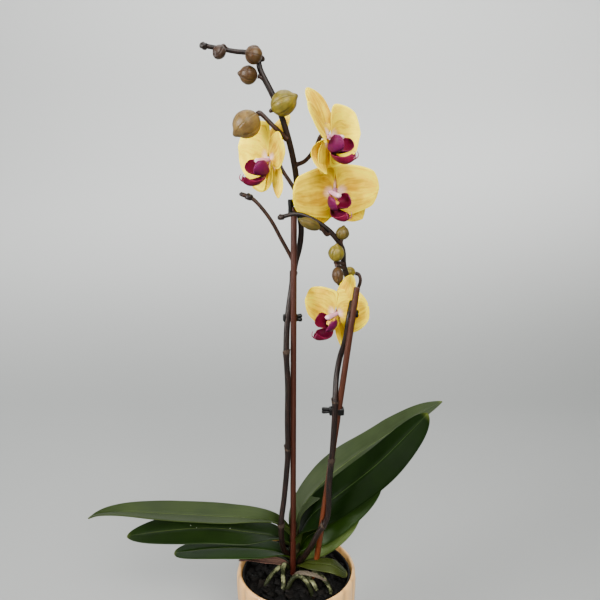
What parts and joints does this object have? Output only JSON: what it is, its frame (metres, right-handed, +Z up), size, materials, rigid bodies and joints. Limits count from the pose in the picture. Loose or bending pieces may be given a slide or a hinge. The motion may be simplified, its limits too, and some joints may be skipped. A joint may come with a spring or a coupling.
{
  "type": "potted moth orchid",
  "caption": "Moth orchid with broad leaves, staked arching flower stems, open flowers and buds, growing in bark in a black liner inside a ribbed ceramic cover pot.",
  "frame": {"origin": "centre of the cover pot's flat underside", "axes": "+Z up along the pot's axis and the plant's height, -Y towards the front, +X to the front view's right"},
  "size_m": [0.4108, 0.14, 0.6985],
  "materials": {
    "cover_pot_glaze": "glossy cream-beige glaze over shallow upright ribs",
    "liner_plastic": "matt black moulded plastic",
    "bark": "rough dark bark chips",
    "root_skin": "satin grey-green root skin with pale patches",
    "leaf_skin": "waxy deep green leaf, paler below",
    "dry_leaf": "dry papery pink-brown leaf",
    "flower_stem": "dark purple-brown satin stem with paler rings",
    "dyed_bamboo": "red-brown dyed bamboo with a soft sheen",
    "clip_plastic": "black moulded plastic",
    "petal_skin": "soft golden yellow petal with fine veins",
    "lip_skin": "dark magenta lip with a cream throat",
    "column_skin": "pale pink waxy column",
    "bud_green": "olive-green waxy bud",
    "bud_brown": "tan and brown waxy bud"
  },
  "bodies": {
    "root": {"outer_pot": "cover_pot_glaze", "nursery_pot": "liner_plastic", "bark_mix": "bark", "crown_and_roots": "root_skin", "leaf_upper_left": "leaf_skin", "leaf_middle_left": "leaf_skin", "leaf_lower_left": "leaf_skin", "leaf_upper_right": "leaf_skin", "leaf_broad_right": "leaf_skin", "leaf_middle_right": "leaf_skin", "leaf_lower_right": "leaf_skin", "leaf_short_right": "leaf_skin", "leaf_withered": "dry_leaf", "spike_tall": "flower_stem", "spike_arched": "flower_stem", "stake_tall": "dyed_bamboo", "stake_short": "dyed_bamboo", "clip_tall_lower": "clip_plastic", "clip_tall_upper": "clip_plastic", "clip_short_lower": "clip_plastic", "clip_short_upper": "clip_plastic", "flower_left_dorsal_sepal": "petal_skin", "flower_left_left_sepal": "petal_skin", "flower_left_right_sepal": "petal_skin", "flower_left_left_petal": "petal_skin", "flower_left_right_petal": "petal_skin", "flower_left_lip": "lip_skin", "flower_left_column": "column_skin", "flower_top_dorsal_sepal": "petal_skin", "flower_top_left_sepal": "petal_skin", "flower_top_right_sepal": "petal_skin", "flower_top_left_petal": "petal_skin", "flower_top_right_petal": "petal_skin", "flower_top_lip": "lip_skin", "flower_top_column": "column_skin", "flower_front_dorsal_sepal": "petal_skin", "flower_front_left_sepal": "petal_skin", "flower_front_right_sepal": "petal_skin", "flower_front_left_petal": "petal_skin", "flower_front_right_petal": "petal_skin", "flower_front_lip": "lip_skin", "flower_front_column": "column_skin", "flower_low_dorsal_sepal": "petal_skin", "flower_low_left_sepal": "petal_skin", "flower_low_right_sepal": "petal_skin", "flower_low_left_petal": "petal_skin", "flower_low_right_petal": "petal_skin", "flower_low_lip": "lip_skin", "flower_low_column": "column_skin", "bud_tall_1": "bud_brown", "bud_tall_2": "bud_brown", "bud_tall_3": "bud_brown", "bud_tall_4": "bud_green", "bud_tall_5": "bud_brown", "bud_arched_1": "bud_brown", "bud_arched_2": "bud_green", "bud_arched_3": "bud_green", "bud_arched_4": "bud_brown", "bud_arched_5": "bud_green"}
  },
  "joints": []
}
